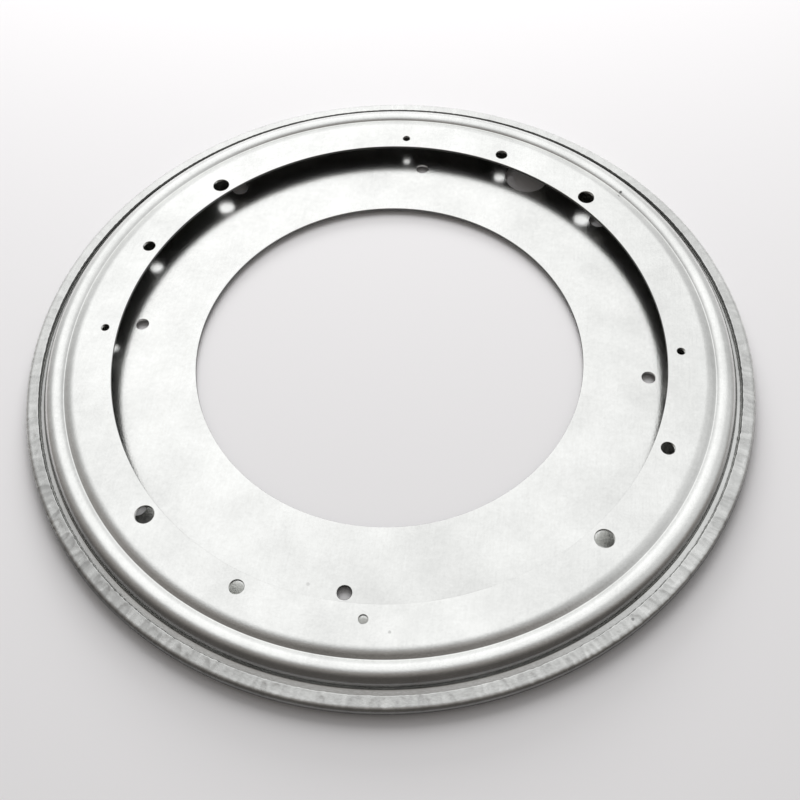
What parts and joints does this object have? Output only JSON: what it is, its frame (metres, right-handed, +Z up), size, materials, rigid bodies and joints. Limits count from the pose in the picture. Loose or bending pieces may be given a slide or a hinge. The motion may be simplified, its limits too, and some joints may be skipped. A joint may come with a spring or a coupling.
{
  "type": "lazy susan bearing",
  "caption": "Flat round turntable bearing of pressed steel rings with screw holes, a hemmed rim and loose balls between them, so that a tray or shelf turns freely.",
  "frame": {"origin": "on the turning axis, at the underside of the lower ring's ball groove, which the part stands on", "axes": "+Z up along the turning axis, with the turning ring on top; +X through one of the lower ring's screw holes"},
  "size_m": [0.304, 0.304, 0.0107],
  "materials": {
    "ring_steel": "bright zinc plated sheet steel, lightly mottled",
    "ball_steel": "polished hardened steel"
  },
  "bodies": {
    "lower_ring": {"lower_ring": "ring_steel"},
    "ball_row": {"bearing_ball_01": "ball_steel", "bearing_ball_02": "ball_steel", "bearing_ball_03": "ball_steel", "bearing_ball_04": "ball_steel", "bearing_ball_05": "ball_steel", "bearing_ball_06": "ball_steel", "bearing_ball_07": "ball_steel", "bearing_ball_08": "ball_steel", "bearing_ball_09": "ball_steel", "bearing_ball_10": "ball_steel", "bearing_ball_11": "ball_steel", "bearing_ball_12": "ball_steel", "bearing_ball_13": "ball_steel", "bearing_ball_14": "ball_steel", "bearing_ball_15": "ball_steel", "bearing_ball_16": "ball_steel", "bearing_ball_17": "ball_steel", "bearing_ball_18": "ball_steel", "bearing_ball_19": "ball_steel", "bearing_ball_20": "ball_steel", "bearing_ball_21": "ball_steel", "bearing_ball_22": "ball_steel", "bearing_ball_23": "ball_steel", "bearing_ball_24": "ball_steel", "bearing_ball_25": "ball_steel", "bearing_ball_26": "ball_steel", "bearing_ball_27": "ball_steel", "bearing_ball_28": "ball_steel", "bearing_ball_29": "ball_steel", "bearing_ball_30": "ball_steel", "bearing_ball_31": "ball_steel", "bearing_ball_32": "ball_steel", "bearing_ball_33": "ball_steel", "bearing_ball_34": "ball_steel", "bearing_ball_35": "ball_steel", "bearing_ball_36": "ball_steel"},
    "upper_ring": {"upper_ring": "ring_steel"}
  },
  "joints": [
    {"name": "upper_turn", "type": "hinge", "parent": "lower_ring", "child": "upper_ring", "pos_m": [0, 0, 0.0054], "axis": [0, 0, 1], "continuous": true},
    {"name": "ball_orbit", "type": "hinge", "parent": "lower_ring", "child": "ball_row", "pos_m": [0, 0, 0.0054], "axis": [0, 0, 1], "continuous": true}
  ],
  "couplings": [
    {"joint": "ball_orbit", "follows": "upper_turn", "ratio": 0.5}
  ]
}
